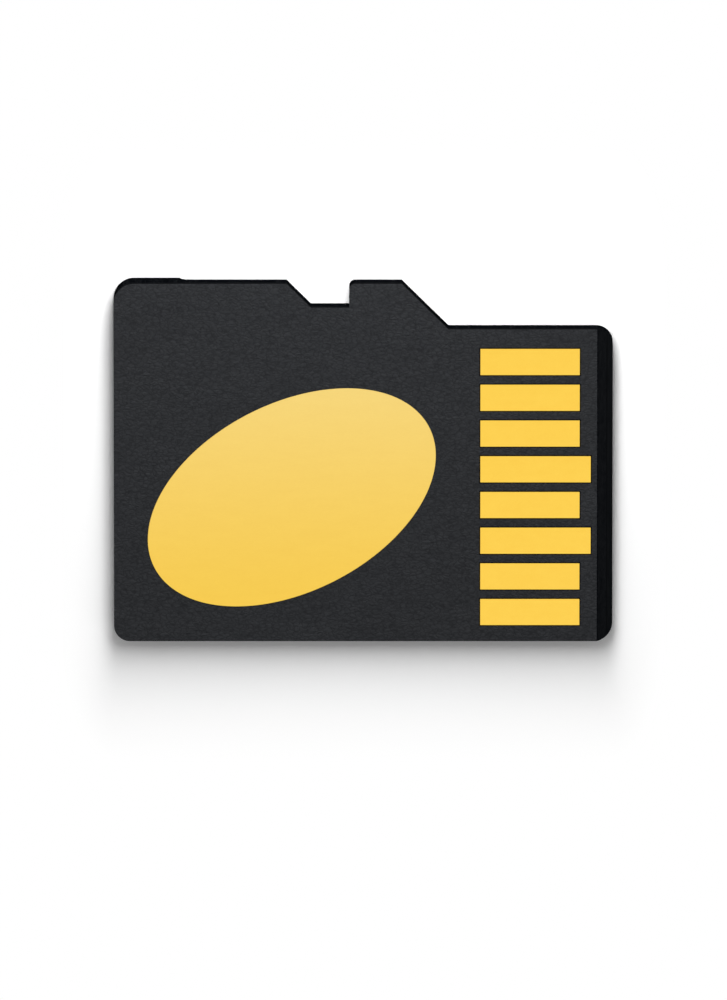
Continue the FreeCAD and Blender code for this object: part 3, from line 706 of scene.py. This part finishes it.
KEPT_NODES = {
    "board": board_laminate(), "die_side_mask": inner_lacquer(),
    "contact_vias": copper, "die_side_copper": copper, "capacitor_solder": solder,
    "flash_bond_wires": wire, "controller_bond_wires": wire,
    "controller_die": silicon, "controller_film": film,
    **{f"flash_die_{n}": silicon for n in range(1, 5)},
    **{f"flash_film_{n}": film for n in range(1, 5)},
    **{f"capacitor_{n}": ceramic for n in range(1, 5)},
}
for node, finish in KEPT_NODES.items():
    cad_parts[node].data.materials[0] = finish


# Floor, light and camera
def seen_directly(tree):
    """One for what the camera looks at and for what gloss or glass shows, and nought for light."""
    path = tree.nodes.new("ShaderNodeLightPath").outputs
    mirrored = arithmetic(tree, "MAXIMUM", path["Is Glossy Ray"], path["Is Transmission Ray"])
    return arithmetic(tree, "MAXIMUM", path["Is Camera Ray"], mirrored)


def grey(tone):
    """A colour with the same tone in each part."""
    return tone, tone, tone


def pale_floor():
    """A white floor that keeps the card's shadow and, where it is seen, fades to the background's white.

    The fade follows the distance from the card's rectangle, which counts for more beyond the card's ends.
    """
    mesh = bpy.data.meshes.new("floor")
    corners = [(-FLOOR_HALF, -FLOOR_HALF, 0), (FLOOR_HALF, -FLOOR_HALF, 0),
               (FLOOR_HALF, FLOOR_HALF, 0), (-FLOOR_HALF, FLOOR_HALF, 0)]
    mesh.from_pydata(corners, [], [(0, 1, 2, 3)])
    floor = bpy.data.objects.new("floor", mesh)
    bpy.context.scene.collection.objects.link(floor)
    material = bpy.data.materials.new("floor_white")
    material.use_nodes = True
    tree = material.node_tree
    tree.nodes.clear()
    seen = seen_directly(tree)
    tone = tint(tree, seen, grey(FLOOR_TONE), grey(FLOOR_TONE_SEEN))
    matt = add(tree, "ShaderNodeBsdfDiffuse", Color=tone)
    white = add(tree, "ShaderNodeEmission", Color=(1, 1, 1, 1), Strength=1.0)
    where = tree.nodes.new("ShaderNodeTexCoord").outputs["Object"]
    beyond = vectors(tree, "SUBTRACT", vectors(tree, "ABSOLUTE", where), (FRONT * MM, NOTCH_SIDE * MM, 0))
    outside = vectors(tree, "MULTIPLY", vectors(tree, "MAXIMUM", beyond), (END_FADE, 1, 1))
    distance = vectors(tree, "LENGTH", outside)
    faded = between(tree, distance, SHADOW_FADE_START * MM, SHADOW_FADE_END * MM, 0, 1, True)
    mix = tree.nodes.new("ShaderNodeMixShader")
    fill(tree, mix.inputs[0], arithmetic(tree, "MULTIPLY", seen, faded))
    fill(tree, mix.inputs[1], matt.outputs["BSDF"])
    fill(tree, mix.inputs[2], white.outputs["Emission"])
    add(tree, "ShaderNodeOutputMaterial", Surface=mix.outputs["Shader"])
    mesh.materials.append(material)


def soft_surround():
    """Even white surround: plain white to the camera and in gloss, and much weaker as light."""
    world = bpy.data.worlds.new("surround")
    bpy.context.scene.world = world
    world.use_nodes = True
    tree = world.node_tree
    tree.nodes.clear()
    strength = between(tree, seen_directly(tree), 0, 1, SURROUND_LIGHT, 1.0)
    sky = add(tree, "ShaderNodeBackground", Color=(1, 1, 1, 1), Strength=strength)
    add(tree, "ShaderNodeOutputWorld", Surface=sky.outputs["Background"])


def softbox(name, place, aim, width, height, watts, in_gloss=False):
    """A rectangular soft lamp at a place, turned to an aim, in millimetres.

    It either lights matt surfaces or shows in glossy ones.
    """
    data = bpy.data.lights.new(name, "AREA")
    data.shape, data.size, data.size_y, data.energy = "RECTANGLE", width * MM, height * MM, watts
    lamp = bpy.data.objects.new(name, data)
    bpy.context.scene.collection.objects.link(lamp)
    lamp.visible_glossy, lamp.visible_diffuse = in_gloss, not in_gloss
    lamp.location = Vector(place) * MM
    lamp.rotation_euler = (Vector(aim) - Vector(place)).to_track_quat("-Z", "Y").to_euler()


def overhead_camera():
    """A long lens almost straight above the card, leaning to the notch side so that its edge shows.

    It stands back by the picture's height in millimetres times lens over sensor, and it aims below the
    card's middle, so that this comes to its own row of the picture.
    """
    lean = math.radians(CAMERA_LEAN)
    back = Vector((0, math.sin(lean), math.cos(lean)))
    lowered = (PICTURE_HEIGHT / 2 - CARD_ROW) / PIXELS_PER_MM / math.cos(lean)
    aim = Vector((CAMERA_AIM_X, -lowered, CONTACT_FACE))
    far = PICTURE_HEIGHT / PIXELS_PER_MM * LENS / SENSOR
    data = bpy.data.cameras.new("camera")
    data.lens, data.sensor_width = LENS, SENSOR
    data.clip_start, data.clip_end = 0.01, 10.0
    camera = bpy.data.objects.new("camera", data)
    bpy.context.scene.collection.objects.link(camera)
    right = Vector((1, 0, 0))
    turn = Matrix((right, back.cross(right), back)).transposed().to_4x4()
    camera.matrix_world = Matrix.Translation((aim + back * far) * MM) @ turn
    bpy.context.scene.camera = camera


pale_floor()
soft_surround()
softbox("key_lamp", (0, 26, 28), (0, 0, 0), width=14, height=46, watts=0.0187)
softbox("rear_fill", (-45, -30, 3.4), (0, 0, 0.6), width=30, height=4, watts=0.0100)
softbox("front_fill", (45, -30, 3.4), (0, 0, 0.6), width=30, height=4, watts=0.0100)
softbox("gloss_panel", (0, 33.5, 29.5), (0, 0, 0), width=40, height=34, watts=0.0016, in_gloss=True)
overhead_camera()
bpy.context.scene.view_settings.view_transform = "Standard"
